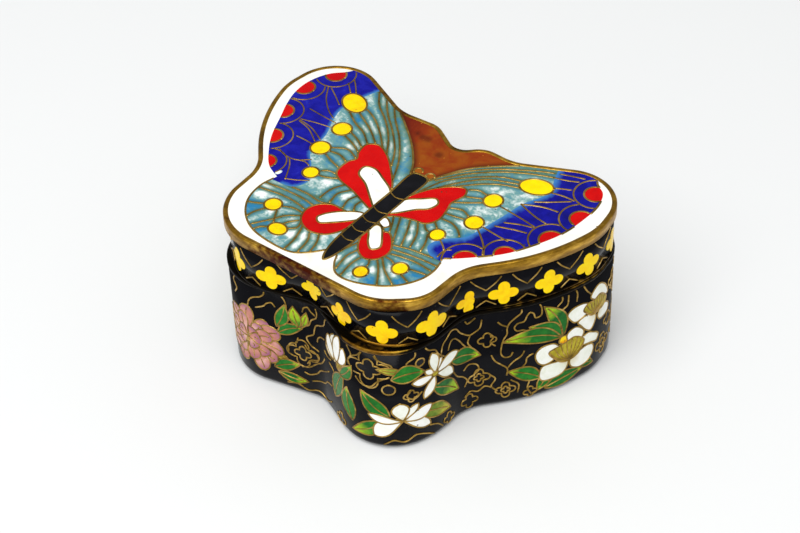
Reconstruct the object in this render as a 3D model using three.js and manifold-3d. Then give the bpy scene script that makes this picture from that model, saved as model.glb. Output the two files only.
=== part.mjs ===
// A butterfly-shaped cloisonné enamel box: a hollow copper base and a lift-off lid,
// edged with soldered brass. Millimetres, +Z up, +Y towards the butterfly's head,
// origin on the table under the middle of the box.
import * as THREE from "three";
import { mergeVertices } from "three/addons/utils/BufferGeometryUtils.js";
import Module from "manifold-3d";

const wasm = await Module();
wasm.setup();

// Heights above the table
const HEIGHT = 36.4; // top of the lid
const CROWN_BAND_HEIGHT = 2.4; // brass band round the lid's top edge
const LID_FOOT = 25.7; // lower edge of the lid
const LID_EDGE_HEIGHT = 0.6; // brass edge soldered under the lid's skirt
const MOUTH_TOP = 25.5; // top of the brass mouth rim that the lid rests over
const MOUTH_RIM_HEIGHT = 0.9;
const LIP_TOP = 28.3; // top of the lip that keeps the lid in place

// Thicknesses: copper sheet with enamel on both of its faces
const WALL = 1.8;
const FLOOR = 2.0;
const LID_PLATE = 2.8;
const CROWN_BAND = 0.85; // brass band, seen from above
const CROWN_CHAMFER = 0.25;
const LIP = 0.8;

const BASE_ROUND = 1.5; // rounding between wall and underside
const INNER_ROUND = 1.5; // fillet of enamel between wall and floor
const SKIRT_SET_BACK = 0.25; // skirt's face behind the brass band above it
const LID_EDGE_PROUD = 0.1; // brass edge in front of the skirt's face
const LID_PLAY = 0.3; // between the lip and the inside of the skirt
const SEAT_GAP = 0.05; // solder line between brass and copper

const ARC_STEP = THREE.MathUtils.degToRad(8);

// The outline runs like a belt round discs of radius r: OVER a disc where the box bulges
// out, UNDER it where the box is drawn in. Both halves share the wing's discs, mirrored;
// the notch at the head and the dent at the tail sit a little to the right, as hammered.
const OVER = 1;
const UNDER = -1;
const disc = (x, y, r, side) => ({ x, y, r, side });
const mirrored = (d) => disc(-d.x, d.y, d.r, d.side);

const HEAD_NOTCH = disc(2.1, 21.85, 3.35, UNDER);
const HEAD_BUMP_LEFT = disc(-6.1, 16.2, 5.7, OVER);
const HEAD_BUMP_RIGHT = disc(8.9, 16.3, 5.35, OVER);

// Right wings, from the head round to the hindwing
const WINGS = [
  disc(11.7, 30.95, 9.4, UNDER), // hollow between head and forewing
  disc(28.3, 17.95, 9.4, OVER), // forewing tip, front
  disc(24.9, 15.55, 13.1, OVER), // forewing tip, side
  disc(-0.8, 22.05, 39.6, OVER), // forewing's long outer edge
  disc(34.1, -12.45, 9.4, UNDER), // waist between the wings
  disc(16.2, -15.35, 8.3, OVER), // hindwing
];

// Tails from left to right: the lid's plate bridges the dent that its skirt and the base have
const CROWN_TAIL = [disc(-13, -14.65, 11.55, OVER), disc(12.3, -14.35, 11.55, OVER)];
const SKIRT_TAIL = [
  disc(-11.4, -15.65, 11, OVER),
  disc(-0.1, -29.25, 5.5, UNDER),
  disc(13.6, -15.45, 10.6, OVER),
];
const BASE_TAIL = [
  disc(-13.75, -15.55, 10.6, OVER),
  disc(0.4, -29.05, 5.7, UNDER),
  disc(13.1, -16.35, 11, OVER),
];

// The belt's discs in order, anticlockwise from the head notch
function beltDiscs(tail) {
  return [
    HEAD_NOTCH,
    HEAD_BUMP_LEFT,
    ...WINGS.map(mirrored),
    ...tail,
    ...WINGS.toReversed(),
    HEAD_BUMP_RIGHT,
  ];
}

// Directions in which the belt leaves each disc for the next one
function tangentAngles(discs) {
  return discs.map((from, i) => {
    const to = discs[(i + 1) % discs.length];
    const dx = to.x - from.x;
    const dy = to.y - from.y;
    const drift = to.side * to.r - from.side * from.r;
    const run = Math.sqrt(dx * dx + dy * dy - drift * drift);
    return Math.atan2(dy, dx) - Math.atan2(drift, run);
  });
}

// Points of the belt round a tail's outline, moved out by offset (in, where negative)
function outline(tail, offset) {
  const discs = beltDiscs(tail);
  const leaving = tangentAngles(discs);
  const points = [];
  discs.forEach((d, i) => {
    const start = leaving.at(i - 1);
    let turn = leaving[i] - start;
    turn -= 2 * Math.PI * Math.round(turn / (2 * Math.PI));
    const steps = Math.max(1, Math.ceil(Math.abs(turn) / ARC_STEP));
    const reach = d.side * d.r + offset;
    for (let k = 0; k <= steps; k++) {
      const heading = start + (turn * k) / steps;
      points.push(
        new THREE.Vector2(d.x + reach * Math.sin(heading), d.y - reach * Math.cos(heading)),
      );
    }
  });
  return points;
}

// Surface through rings of equal point count. Each ring is { tail, offset, z }.
// A closed section joins the last ring to the first; an open one is capped at both ends.
function sweep(rings, closedSection) {
  const loops = rings.map(({ tail, offset }) => outline(tail, offset));
  const count = loops[0].length;
  const position = [];
  loops.forEach((loop, r) => loop.forEach((p) => position.push(p.x, p.y, rings[r].z)));
  const index = [];
  const strips = closedSection ? rings.length : rings.length - 1;
  for (let r = 0; r < strips; r++) {
    const low = r * count;
    const high = ((r + 1) % rings.length) * count;
    for (let i = 0; i < count; i++) {
      const j = (i + 1) % count;
      index.push(low + i, low + j, high + j, low + i, high + j, high + i);
    }
  }
  if (!closedSection) {
    const last = (rings.length - 1) * count;
    for (const [a, b, c] of THREE.ShapeUtils.triangulateShape(loops[0], [])) index.push(a, c, b);
    for (const [a, b, c] of THREE.ShapeUtils.triangulateShape(loops.at(-1), []))
      index.push(last + a, last + b, last + c);
  }
  const geometry = new THREE.BufferGeometry();
  geometry.setAttribute("position", new THREE.Float32BufferAttribute(position, 3));
  geometry.setIndex(index);
  return geometry;
}

const prism = (tail, offset, bottom, top) =>
  sweep([
    { tail, offset, z: bottom },
    { tail, offset, z: top },
  ]);

// Ring of rectangular section between two offsets
const hoop = (tail, outer, inner, bottom, top) =>
  sweep(
    [
      { tail, offset: outer, z: bottom },
      { tail, offset: outer, z: top },
      { tail, offset: inner, z: top },
      { tail, offset: inner, z: bottom },
    ],
    true,
  );

function toSolid(geometry) {
  const merged = mergeVertices(geometry, 1e-4);
  return new wasm.Manifold(
    new wasm.Mesh({
      numProp: 3,
      vertProperties: merged.attributes.position.array,
      triVerts: new Uint32Array(merged.index.array),
    }),
  );
}

function toGeometry(solid) {
  const { vertProperties, triVerts } = solid.getMesh();
  const geometry = new THREE.BufferGeometry();
  geometry.setAttribute("position", new THREE.Float32BufferAttribute(vertProperties, 3));
  geometry.setIndex(new THREE.Uint32BufferAttribute(triVerts, 1));
  return geometry;
}

// Copper base: wall and floor in one, rounded underneath, with a soft fillet inside
function baseGeometry() {
  const QUARTER_STEPS = 3;
  const quarter = (centreOffset, centreZ, radius, from, to) =>
    Array.from({ length: QUARTER_STEPS + 1 }, (_, k) => {
      const a = from + ((to - from) * k) / QUARTER_STEPS;
      return {
        tail: BASE_TAIL,
        offset: centreOffset + radius * Math.cos(a),
        z: centreZ + radius * Math.sin(a),
      };
    });
  const wallTop = MOUTH_TOP - MOUTH_RIM_HEIGHT;
  return sweep([
    ...quarter(-BASE_ROUND, BASE_ROUND, BASE_ROUND, -Math.PI / 2, 0),
    { tail: BASE_TAIL, offset: 0, z: wallTop },
    { tail: BASE_TAIL, offset: -WALL, z: wallTop },
    ...quarter(-WALL - INNER_ROUND, FLOOR + INNER_ROUND, INNER_ROUND, 0, -Math.PI / 2),
  ]);
}

// Brass rim soldered on the base's mouth, with the lip that stands up inside the lid
function mouthRimGeometry() {
  const bottom = MOUTH_TOP - MOUTH_RIM_HEIGHT;
  const lipFace = -SKIRT_SET_BACK - WALL - LID_PLAY;
  const ledge = toSolid(prism(BASE_TAIL, 0, bottom, MOUTH_TOP));
  const lip = toSolid(prism(SKIRT_TAIL, lipFace, bottom, LIP_TOP));
  const opening = toSolid(prism(SKIRT_TAIL, lipFace - LIP, bottom - 1, LIP_TOP + 1));
  return toGeometry(ledge.add(lip).subtract(opening));
}

// Copper lid: the enamelled plate and the skirt hanging under it
function lidGeometry() {
  const bandFoot = HEIGHT - CROWN_BAND_HEIGHT;
  const plate = toSolid(
    prism(CROWN_TAIL, -CROWN_BAND - SEAT_GAP, HEIGHT - LID_PLATE, HEIGHT),
  );
  const skirt = toSolid(
    hoop(
      SKIRT_TAIL,
      -SKIRT_SET_BACK,
      -SKIRT_SET_BACK - WALL,
      LID_FOOT + LID_EDGE_HEIGHT,
      bandFoot,
    ),
  );
  return toGeometry(plate.add(skirt));
}

// Brass edge under the skirt, resting over the mouth rim
const lidEdgeGeometry = () =>
  hoop(
    SKIRT_TAIL,
    -SKIRT_SET_BACK + LID_EDGE_PROUD,
    -SKIRT_SET_BACK - WALL,
    LID_FOOT,
    LID_FOOT + LID_EDGE_HEIGHT,
  );

// Brass band round the lid's top edge, its outer corner eased by polishing
function crownBandGeometry() {
  const foot = HEIGHT - CROWN_BAND_HEIGHT;
  const ring = (offset, z) => ({ tail: CROWN_TAIL, offset, z });
  return sweep(
    [
      ring(0, foot),
      ring(0, HEIGHT - CROWN_CHAMFER),
      ring(-CROWN_CHAMFER, HEIGHT),
      ring(-CROWN_BAND, HEIGHT),
      ring(-CROWN_BAND, foot),
    ],
    true,
  );
}

const enamel = (color) => new THREE.MeshStandardMaterial({ color, roughness: 0.18, metalness: 0 });
const brass = (color) => new THREE.MeshStandardMaterial({ color, roughness: 0.4, metalness: 1 });

const PIECES = [
  ["base", baseGeometry(), enamel(0x0c0c14)],
  ["base_mouth_rim", mouthRimGeometry(), brass(0xb07a20)],
  ["lid", lidGeometry(), enamel(0xf6f4ea)],
  ["lid_foot_edge", lidEdgeGeometry(), brass(0xb07a20)],
  ["lid_crown_band", crownBandGeometry(), brass(0x9a6a1c)],
];

const box = new THREE.Group();
for (const [name, geometry, material] of PIECES) {
  geometry.computeVertexNormals();
  const mesh = new THREE.Mesh(geometry, material);
  mesh.name = name;
  box.add(mesh);
}

export default box;
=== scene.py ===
import math

import bpy
import numpy as np
from mathutils import Matrix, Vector
from mathutils.geometry import delaunay_2d_cdt


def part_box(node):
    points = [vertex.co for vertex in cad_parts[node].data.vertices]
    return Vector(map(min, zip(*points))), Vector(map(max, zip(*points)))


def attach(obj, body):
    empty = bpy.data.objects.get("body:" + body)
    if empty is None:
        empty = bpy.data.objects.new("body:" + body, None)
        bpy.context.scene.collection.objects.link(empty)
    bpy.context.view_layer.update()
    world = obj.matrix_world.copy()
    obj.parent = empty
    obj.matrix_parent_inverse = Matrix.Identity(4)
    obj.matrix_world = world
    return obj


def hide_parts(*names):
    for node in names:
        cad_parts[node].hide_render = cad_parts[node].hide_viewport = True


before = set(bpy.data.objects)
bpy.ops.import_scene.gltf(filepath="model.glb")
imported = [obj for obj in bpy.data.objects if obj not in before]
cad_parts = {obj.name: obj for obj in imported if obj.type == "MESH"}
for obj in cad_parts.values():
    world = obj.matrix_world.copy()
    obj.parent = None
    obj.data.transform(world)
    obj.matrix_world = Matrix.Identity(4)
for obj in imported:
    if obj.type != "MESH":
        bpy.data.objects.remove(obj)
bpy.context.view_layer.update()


# ---------------------------------------------------------------------------------------------
# Base: a raised copper bowl in the outline of a butterfly, its wall bent round and soldered to
# a flat floor. Black enamel is fired on the outside, plain turquoise counter-enamel on the rest.

MM = 0.001
OVER, UNDER = 1, -1  # the outline runs like a belt over or under discs of x, y and radius, in mm

HEAD_NOTCH = (2.1, 21.85, 3.35, UNDER)
HEAD_BUMP_LEFT = (-6.1, 16.2, 5.7, OVER)
HEAD_BUMP_RIGHT = (8.9, 16.3, 5.35, OVER)
WINGS = [
    (11.7, 30.95, 9.4, UNDER),
    (28.3, 17.95, 9.4, OVER),
    (24.9, 15.55, 13.1, OVER),
    (-0.8, 22.05, 39.6, OVER),
    (34.1, -12.45, 9.4, UNDER),
    (16.2, -15.35, 8.3, OVER),
]
BASE_TAIL = [(-13.75, -15.55, 10.6, OVER), (0.4, -29.05, 5.7, UNDER), (13.1, -16.35, 11, OVER)]

TAIL_POINT_X = 0.3  # where the outline is counted from, in the middle of the tail side
ARC_STEPS = 60
BELT_STEPS = 912  # points round an outline, a quarter of a millimetre apart
QUARTER_STEPS = 7  # rings over a rounded corner
WALL = 1.8
FLOOR = 2.0
BASE_ROUND = 1.5
INLAY_DEPTH = 0.15  # the ground enamel lies this far below the metal edges round it


class Belt:
    """An outline of the box: even points from the tail point on, anticlockwise from above."""

    def __init__(self, tail):
        mirrored = [(-x, y, r, side) for x, y, r, side in WINGS]
        discs = [HEAD_NOTCH, HEAD_BUMP_LEFT, *mirrored, *tail, *WINGS[::-1], HEAD_BUMP_RIGHT]
        leaving = []
        for (x, y, r, side), (to_x, to_y, to_r, to_side) in zip(discs, discs[1:] + discs[:1]):
            dx, dy, drift = to_x - x, to_y - y, to_side * to_r - side * r
            run = math.sqrt(dx * dx + dy * dy - drift * drift)
            leaving.append(math.atan2(dy, dx) - math.atan2(drift, run))
        rough = []
        for (x, y, r, side), start, end in zip(discs, leaving[-1:] + leaving[:-1], leaving):
            turn = (end - start + math.pi) % (2 * math.pi) - math.pi
            for heading in np.linspace(start, start + turn, ARC_STEPS):
                out = np.array([math.sin(heading), -math.cos(heading)])
                rough.append([*(np.array([x, y]) + side * r * out), *out])
        rough = np.array(rough)
        from_tail = np.where(rough[:, 1] > 0, np.inf, np.abs(rough[:, 0] - TAIL_POINT_X))
        rough = np.roll(rough, -int(np.argmin(from_tail)), axis=0)
        rough = np.vstack([rough, rough[:1]])
        along = np.concatenate([[0], np.hypot(*np.diff(rough[:, :2], axis=0).T).cumsum()])
        even = np.linspace(0, along[-1], BELT_STEPS, endpoint=False)
        self.length = along[-1]
        self.points, self.out = (
            np.column_stack([np.interp(even, along, rough[:, k]) for k in pair])
            for pair in ((0, 1), (2, 3))
        )
        self.out /= np.linalg.norm(self.out, axis=1)[:, None]

    def at(self, along):
        """Points and outward directions at distances along the outline."""
        step = np.asarray(along) / self.length % 1 * BELT_STEPS
        low = step.astype(int) % BELT_STEPS
        share = (step % 1)[:, None]
        high = (low + 1) % BELT_STEPS
        return [v[low] * (1 - share) + v[high] * share for v in (self.points, self.out)]

    def ring(self, offset):
        return self.points + offset * self.out


def linear(hex_colour):
    """An sRGB hex colour as the linear values that the nodes take."""
    channels = [int(hex_colour[k : k + 2], 16) / 255 for k in (1, 3, 5)]
    return [c / 12.92 if c <= 0.04045 else ((c + 0.055) / 1.055) ** 2.4 for c in channels] + [1]


def add(material, kind, inputs=None, stops=None, **settings):
    """Adds a node with its settings, and values or links on its sockets."""
    new = material.node_tree.nodes.new("ShaderNode" + kind)
    for name, value in settings.items():
        setattr(new, name, value)
    if stops:
        ramp = new.color_ramp
        while len(ramp.elements) < len(stops):
            ramp.elements.new(0.5)
        for element, (position, colour) in zip(ramp.elements, stops):
            element.position, element.color = position, linear(colour)
    for socket, value in (inputs or {}).items():
        if isinstance(value, bpy.types.NodeSocket):
            material.node_tree.links.new(value, new.inputs[socket])
        else:
            new.inputs[socket].default_value = value
    return new


def new_material(name):
    """An empty node material, with its output."""
    material = bpy.data.materials.new(name)
    material.use_nodes = True
    material.node_tree.nodes.clear()
    return material, add(material, "OutputMaterial")


def glass_enamel(name, dark, body, light, cloud, ripe=None, lean=0.22,
                 sharp=0.5, speck="#3a3020", speck_share=0.16):
    """Ground glass, fired and polished: clouded where the grains melted unevenly, with pinholes
    left by gas and a faintly wavy skin. cloud is the clouds' size in mm, sharp how hard their
    edges are, lean how far a cell's own tone moves them, and ripe the colour it is shaded to."""
    material, output = new_material(name)
    place = add(material, "TexCoord").outputs["Object"]
    clouds = add(material, "TexNoise", {"Vector": place, "Scale": 1 / (cloud * MM), "Detail": 5,
                                        "Roughness": 0.62, "Distortion": 0.5})
    tone = add(material, "Attribute", attribute_name="tone")
    toned = add(material, "Math", {0: tone.outputs["Fac"], 1: lean, 2: clouds.outputs[0]},
                operation="MULTIPLY_ADD")
    spread = 0.22 * (1 - sharp)
    shades = add(material, "ValToRGB", {"Fac": toned.outputs[0]},
                 stops=[(0.38 - spread, dark), (0.58, body), (0.76 + spread, light)])
    colour = shades.outputs["Color"]
    if ripe:
        shade = add(material, "Attribute", attribute_name="shade")
        ragged = add(material, "Math", {0: clouds.outputs[0], 1: 0.9, 2: -0.45},
                     operation="MULTIPLY_ADD")
        both = add(material, "Math", {0: shade.outputs["Fac"], 1: ragged.outputs[0]}, operation="ADD")
        faded = add(material, "MapRange", {0: both.outputs[0], 1: 0.15, 2: 0.85})
        colour = add(material, "Mix", {0: faded.outputs[0], 6: colour, 7: linear(ripe)},
                     data_type="RGBA").outputs[2]
    pits = add(material, "TexVoronoi", {"Vector": place, "Scale": 1 / (1.3 * MM)})
    many = add(material, "TexNoise", {"Vector": place, "Scale": 1 / (5 * MM), "Detail": 2})
    size = add(material, "MapRange", {0: many.outputs[0], 1: 0.45, 2: 0.75, 3: 0.0, 4: speck_share})
    pit = add(material, "Math", {0: pits.outputs["Distance"], 1: size.outputs[0]},
              operation="LESS_THAN")
    colour = add(material, "Mix", {0: pit.outputs[0], 6: colour, 7: linear(speck)},
                 data_type="RGBA").outputs[2]
    waves = add(material, "TexNoise", {"Vector": place, "Scale": 1 / (2.2 * MM), "Detail": 2})
    sunk = add(material, "Math", {0: pit.outputs[0], 1: -0.8, 2: waves.outputs[0]},
               operation="MULTIPLY_ADD")
    skin = add(material, "Bump", {"Strength": 0.5, "Distance": 0.06 * MM, "Height": sunk.outputs[0]})
    glass = add(material, "BsdfPrincipled", {"Base Color": colour, "Roughness": 0.16, "IOR": 1.5,
                                             "Specular IOR Level": 0.1, "Normal": skin.outputs[0]})
    material.node_tree.links.new(glass.outputs[0], output.inputs["Surface"])
    return material


# Black ground enamel: nearly opaque glass, deep and glossy, with a few pale pinholes
black_enamel = glass_enamel("black_enamel", "#050508", "#0a0a0e", "#14141a", 6.0,
                            speck="#4a463c", speck_share=0.1)
# Counter-enamel: the plain turquoise glass that is fired on the back to keep the copper flat
counter_enamel = glass_enamel("counter_enamel", "#2c8f9c", "#3fa9b2", "#6cc4c6", 4.0)


def mesh_piece(name, points, faces, materials, face_materials=None, values=None):
    """A smooth-shaded mesh from points in mm, riding with the box."""
    mesh = bpy.data.meshes.new(name)
    mesh.from_pydata((np.asarray(points) * MM).tolist(), [], faces)
    for material in materials:
        mesh.materials.append(material)
    if face_materials is not None:
        mesh.polygons.foreach_set("material_index", face_materials)
    mesh.polygons.foreach_set("use_smooth", [True] * len(faces))
    for attribute, numbers in (values or {}).items():
        mesh.attributes.new(attribute, "FLOAT", "POINT").data.foreach_set("value", numbers)
    mesh.update()
    piece = bpy.data.objects.new(name, mesh)
    bpy.context.scene.collection.objects.link(piece)
    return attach(piece, "root")


def sweep(rings, capped):
    """Points and faces through (belt, offset, height) rings, closed on itself or capped."""
    points = np.vstack([np.column_stack([belt.ring(offset), np.full(BELT_STEPS, z)])
                        for belt, offset, z in rings])
    around = np.arange(BELT_STEPS)
    following = (around + 1) % BELT_STEPS
    faces = []
    for k in range(len(rings) - (1 if capped else 0)):
        low, high = k * BELT_STEPS, (k + 1) % len(rings) * BELT_STEPS
        faces += np.column_stack([low + around, low + following, high + following, high + around]).tolist()
    if capped:
        faces.append(around[::-1].tolist())
        faces.append((around + (len(rings) - 1) * BELT_STEPS).tolist())
    return points, faces


def quarter(belt, offset, z, radius, start, end):
    """Rings of a rounded corner between two angles, in degrees."""
    return [(belt, offset + radius * math.cos(a), z + radius * math.sin(a))
            for a in np.radians(np.linspace(start, end, QUARTER_STEPS))]


base_belt = Belt(BASE_TAIL)
base_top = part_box("base")[1].z / MM
face = -INLAY_DEPTH
base_rings = [
    (base_belt, -BASE_ROUND, 0),
    *quarter(base_belt, -BASE_ROUND, BASE_ROUND, BASE_ROUND - INLAY_DEPTH, -90, 0)[1:],
    (base_belt, face, base_top),
    (base_belt, -WALL, base_top),
    *quarter(base_belt, -WALL - BASE_ROUND, FLOOR + BASE_ROUND, BASE_ROUND, 0, -90),
]
points, faces = sweep(base_rings, capped=True)
outside = QUARTER_STEPS * BELT_STEPS  # faces of the rounding and of the wall's outer face come first
base_body = mesh_piece("base_body", points, faces, [black_enamel, counter_enamel],
                       [0] * outside + [1] * (len(faces) - outside))
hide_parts("base")


# ---------------------------------------------------------------------------------------------
# Mouth rim: a strip of brass soldered round the base's mouth, with the lip that keeps the lid in
# place. Polished by hand, it stands a little proud of the lid where the tail was bent wider.

SKIRT_TAIL = [(-11.4, -15.65, 11, OVER), (-0.1, -29.25, 5.5, UNDER), (13.6, -15.45, 10.6, OVER)]
SKIRT_SET_BACK = 0.25  # the skirt's face lies behind the brass band above it
LID_PLAY = 0.3
LIP = 0.8
MOUTH_RIM_HEIGHT = 0.9
EASE = 0.12  # edges rounded by polishing
RUBBED_EDGE = 0.3  # how far onto the ledge the rim's edge is rubbed bright


def soldered_brass(name, deep, worn, bright, grain=0.5, scale_and_shade="#4a1a0a"):
    """Hand-polished brass with the brown of old solder and flux: golden where fingers rub it,
    with fine scratches. The tarnish attribute turns it to dark scale, and on the mouth rim
    and foot strip to near black that is painted shade in the seam under the lid."""
    material, output = new_material(name)
    place = add(material, "TexCoord").outputs["Object"]
    rolled = add(material, "Mapping", {"Vector": place, "Scale": (0.45, 0.45, 1.6)}).outputs[0]
    patches = add(material, "TexNoise", {"Vector": rolled, "Scale": 1 / (2.2 * MM), "Detail": 6,
                                         "Roughness": 0.68})
    colours = add(material, "ValToRGB", {"Fac": patches.outputs[0]},
                  stops=[(0.32, deep), (0.52, worn), (0.7, bright)])
    tarnish_and_shade_level = add(material, "Attribute", attribute_name="tarnish_and_shade")
    ragged = add(material, "TexNoise", {"Vector": place, "Scale": 1 / (1.2 * MM), "Detail": 4})
    ragged_tarnish_and_shade = add(material, "Math", {0: ragged.outputs[0], 1: 1.1, 2: tarnish_and_shade_level.outputs["Fac"]},
                operation="MULTIPLY_ADD")
    scale_and_shade_mix = add(material, "MapRange", {0: ragged_tarnish_and_shade.outputs[0], 1: 0.85, 2: 1.25})
    colour = add(material, "Mix", {0: scale_and_shade_mix.outputs[0], 6: colours.outputs["Color"],
                                   7: linear(scale_and_shade)}, data_type="RGBA").outputs[2]
    rubbed = add(material, "TexNoise", {"Vector": place, "Scale": 1 / (grain * MM), "Detail": 3})
    dull = add(material, "MapRange", {0: patches.outputs[0], 1: 0.3, 2: 0.7, 3: 0.5, 4: 0.3})
    dulled = add(material, "Math", {0: scale_and_shade_mix.outputs[0], 1: 0.25, 2: dull.outputs[0]},
                 operation="MULTIPLY_ADD")
    skin = add(material, "Bump", {"Strength": 0.6, "Distance": 0.05 * MM, "Height": rubbed.outputs[0]})
    metal = add(material, "BsdfPrincipled", {"Base Color": colour, "Metallic": 1,
                                             "Roughness": dulled.outputs[0],
                                             "Normal": skin.outputs[0]})
    material.node_tree.links.new(metal.outputs[0], output.inputs["Surface"])
    return material


# Rim brass: brown where solder flowed over it, golden on the worn edge, and near black as painted shade in
# the seam under the lid
seam_shaded_brass = soldered_brass("brass_with_painted_seam_shade", "#4e300a", "#86601c", "#be9834", scale_and_shade="#100c06")


def tarnish_and_shade(belt, places, levels):
    """Tarnish, and painted shade in the seam, of a swept strip: a level for each ring, and
    (distance along, half width, more or less) places on all of them."""
    along = np.arange(BELT_STEPS) / BELT_STEPS * belt.length
    amount = np.zeros(BELT_STEPS)
    for at, half, more in places:
        gap = np.abs((along - at + belt.length / 2) % belt.length - belt.length / 2)
        amount += more * np.exp(-((gap / half) ** 4))
    return {"tarnish_and_shade": np.concatenate([amount + level for level in levels])}


skirt_belt = Belt(SKIRT_TAIL)
rim_foot = base_top
rim_top = base_top + MOUTH_RIM_HEIGHT
lip_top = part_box("base_mouth_rim")[1].z / MM
lip_face = -SKIRT_SET_BACK - WALL - LID_PLAY
rim_rings = [
    (base_belt, -LIP - EASE, rim_foot),
    (base_belt, -EASE, rim_foot),
    (base_belt, 0, rim_foot + EASE),
    (base_belt, 0, (rim_foot + rim_top) / 2),
    (base_belt, 0, rim_top - EASE),
    (base_belt, -EASE, rim_top),
    (base_belt, -EASE - RUBBED_EDGE, rim_top),
    (skirt_belt, lip_face, rim_top),
    (skirt_belt, lip_face, lip_top),
    (skirt_belt, lip_face - LIP, lip_top),
    (skirt_belt, lip_face - LIP, rim_foot),
]
# Painted shade in the seam under the lid blackens the rim, except at the tail and the corners, which are left
# lighter
seam_lighter_places = [(17.5, 6.8, -1.0), (63, 7, -0.45), (47, 8, -0.3), (104, 10, -0.6), (160, 12, -0.4)]
rim_shade_levels = [1.1, 1.1, 1.0, 1.5, 1.1, 0.9, 1.6, 1.7, 1.4, 0.9, 0.9]
points, faces = sweep(rim_rings, capped=False)
mouth_rim = mesh_piece("mouth_rim", points, faces, [seam_shaded_brass],
                       values=tarnish_and_shade(base_belt, seam_lighter_places, rim_shade_levels))
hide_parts("base_mouth_rim")


# ---------------------------------------------------------------------------------------------
# Lid: a flat copper plate with a skirt soldered under it. White enamel is the ground of the
# plate, black that of the skirt, and the inside has the same counter-enamel as the base.

CROWN_TAIL = [(-13, -14.65, 11.55, OVER), (12.3, -14.35, 11.55, OVER)]
CROWN_BAND = 1.0
LID_PLATE = 2.8
LAP = 0.02  # how far a piece reaches past the next one's face, so that no gap shows
TUCK = 0.05  # the same, for what slides under an edge
LINING = 0.2

# White ground enamel: opaque tin white, a little cream, with brown pinholes and fine dirt
white_enamel = glass_enamel("white_enamel", "#ece8da", "#f9f8f0", "#ffffff", 5.0,
                            ripe="#cdbf8a", speck="#8a7850", speck_share=0.13)

crown_belt = Belt(CROWN_TAIL)
lid_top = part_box("lid")[1].z / MM
band_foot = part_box("lid_crown_band")[0].z / MM
skirt_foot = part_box("lid")[0].z / MM
ground = lid_top - INLAY_DEPTH
plate_edge = -CROWN_BAND + LAP
ceiling = lid_top - LID_PLATE
points, faces = sweep([(crown_belt, plate_edge, ceiling), (crown_belt, plate_edge, ground)],
                      capped=True)
lid_plate = mesh_piece("lid_plate", points, faces, [black_enamel, white_enamel],
                       [0] * (len(faces) - 1) + [1])
lid_plate.data.polygons.foreach_set("use_smooth", [False] * len(faces))
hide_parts("lid")

skirt_face = -SKIRT_SET_BACK - INLAY_DEPTH
skirt_inside = -SKIRT_SET_BACK - WALL
skirt_top = band_foot + TUCK
points, faces = sweep([(skirt_belt, skirt_face, skirt_foot), (skirt_belt, skirt_face, skirt_top),
                       (skirt_belt, skirt_inside, skirt_top), (skirt_belt, skirt_inside, skirt_foot)],
                      capped=False)
lid_skirt = mesh_piece("lid_skirt", points, faces, [black_enamel, counter_enamel],
                       [0] * (2 * BELT_STEPS) + [1] * (2 * BELT_STEPS))
lid_skirt.data.polygons.foreach_set("use_smooth", [True] * BELT_STEPS + [False] * (3 * BELT_STEPS))
points, faces = sweep([(skirt_belt, skirt_inside - LAP, ceiling - LINING / 2),
                       (skirt_belt, skirt_inside - LAP, ceiling + LINING / 2)], capped=True)
lid_lining = mesh_piece("lid_lining", points, faces, [counter_enamel])
lid_lining.data.polygons.foreach_set("use_smooth", [False] * len(faces))


# ---------------------------------------------------------------------------------------------
# Butterfly on the lid: flat wires bent on edge, set on the white ground and filled with coloured
# glass, then stoned flat. Each colour ends at a wire, save the cobalt, which runs into the turquoise.

CELL_LIFT = 0.06  # coloured enamel over the ground enamel
CELL_ROOT = -0.05  # and down into it
WIRE_TOP = 0.13  # and wires, which stand a little over the coloured enamel
LID_WIRE = 0.4
VEIN_WIRE = 0.36
FAN_WIRE = 0.28
JOINT_WIRE = 0.24
CURVE_STEP = 0.4  # points along a curve
FILL_STEP = 0.65  # points across a cell
SHADED_FILL_STEP = 0.42
rng = np.random.default_rng(7)

# Cloisonne wire: thin gilt copper ribbon on edge, stoned flush and dulled by handling
wire_metal = soldered_brass("cloison_wire", "#624e1c", "#a28038", "#d4b268", grain=0.3)
# Turquoise glass: grains of teal, sky blue and white that never quite melted together
turquoise_glass = glass_enamel("turquoise_glass", "#2a78a4", "#6c9a98", "#f0f6f2", 1.0,
                               ripe="#4a6a50", sharp=0.1, lean=0.75)
# Cobalt glass: deep transparent blue, thinner and paler where it runs into the turquoise
cobalt_glass = glass_enamel("cobalt_glass", "#06065e", "#0c0c86", "#1a1ca0", 2.5, ripe="#3a74b4")
# Signal red, opaque and even
red_glass = glass_enamel("red_glass", "#a80002", "#c20002", "#d00804", 3.5, ripe="#8a3a10")
# Yellow, opaque, a little orange where it lies thick
yellow_glass = glass_enamel("yellow_glass", "#f2ae00", "#fcd200", "#ffe000", 2.0, ripe="#e08c00")
# White glass of the drops and petals, clean and opaque
petal_white = glass_enamel("petal_white", "#e4e8d4", "#f6f8ee", "#ffffff", 2.5, ripe="#c9b46a")
# Aventurine: brown-red glass full of copper crystals, patchy where it was overfired
aventurine_glass = glass_enamel("aventurine_glass", "#681604", "#862f06", "#96500c", 3.2,
                                ripe="#4a1204", sharp=0.1, lean=0.6, speck="#b8701c", speck_share=0.2)


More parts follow.
